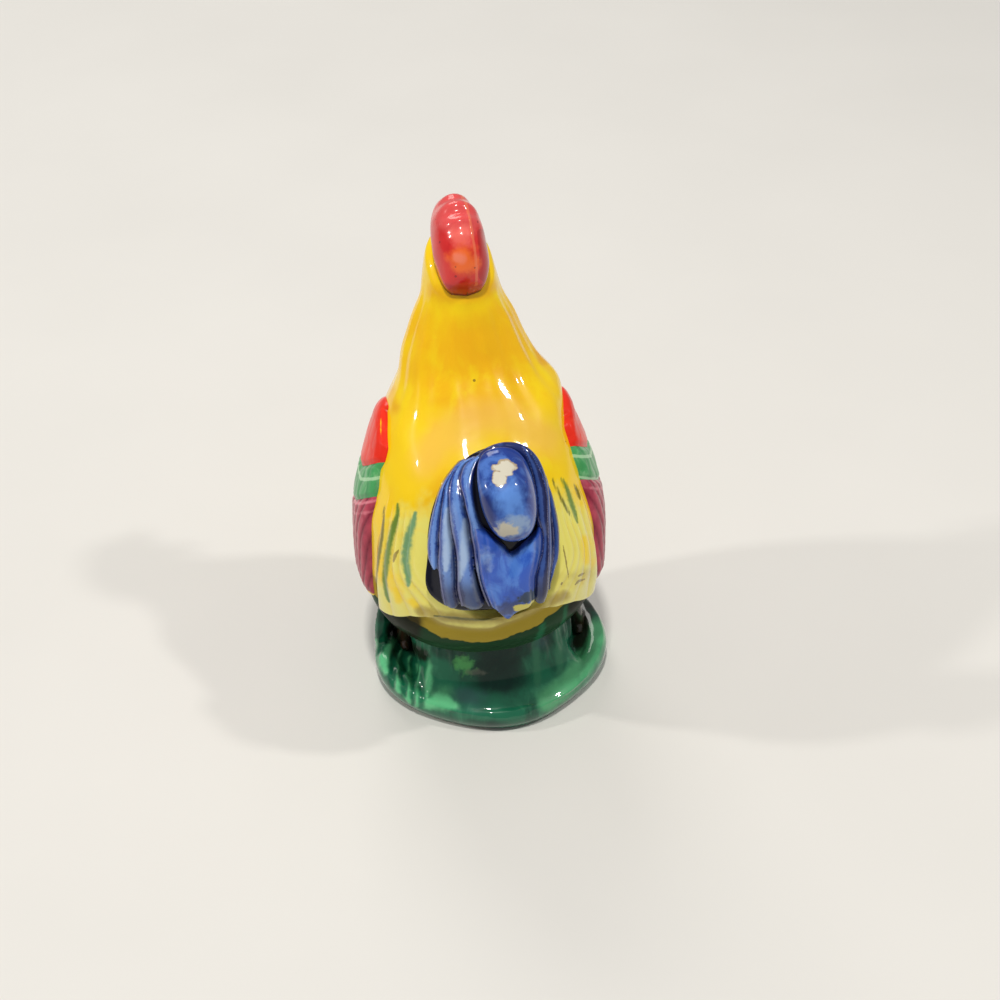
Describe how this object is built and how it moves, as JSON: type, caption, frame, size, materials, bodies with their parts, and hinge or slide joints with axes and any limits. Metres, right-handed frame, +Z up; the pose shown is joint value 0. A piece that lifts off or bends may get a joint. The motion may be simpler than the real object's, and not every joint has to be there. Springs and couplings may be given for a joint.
{
  "type": "ceramic rooster figurine",
  "caption": "Hand-painted glazed ceramic rooster that stands on a grassy mound, with wings, saddle feathers and an arched tail.",
  "frame": {"origin": "middle of the figurine's footprint, on the plane that the mound stands on", "axes": "+Z up, the rooster looks along -Y, its left side is +X"},
  "size_m": [0.0473, 0.0567, 0.0909],
  "materials": {
    "green": "glossy streaked glaze",
    "brown": "glossy dark underglaze brown",
    "yellow": "glossy hand-painted glaze",
    "red": "glossy glaze",
    "orange": "glossy glaze",
    "black": "glossy glaze",
    "scarlet": "glossy glaze",
    "light_green": "glossy glaze",
    "pink": "glossy glaze with dark brushed lines",
    "cream_yellow": "glossy glaze with green brush strokes",
    "navy": "glossy glaze pooled in the grooves",
    "blue": "glossy mottled glaze"
  },
  "bodies": {
    "root": {"base_mound": "green", "grass_tuft": "green", "left_leg": "brown", "right_leg": "brown", "body_shell": "yellow", "neck": "yellow", "head": "yellow", "comb": "red", "upper_beak": "orange", "lower_beak": "orange", "left_wattle": "red", "right_wattle": "red", "left_eye": "black", "right_eye": "black", "left_wing_shoulder": "scarlet", "right_wing_shoulder": "scarlet", "left_wing_bar": "light_green", "right_wing_bar": "light_green", "left_wing_primaries": "pink", "right_wing_primaries": "pink", "left_saddle_feathers": "cream_yellow", "right_saddle_feathers": "cream_yellow", "tail_core": "navy", "left_tail_feathers": "blue", "right_tail_feathers": "blue", "tail_plume": "blue", "tail_sickle": "blue"}
  },
  "joints": []
}
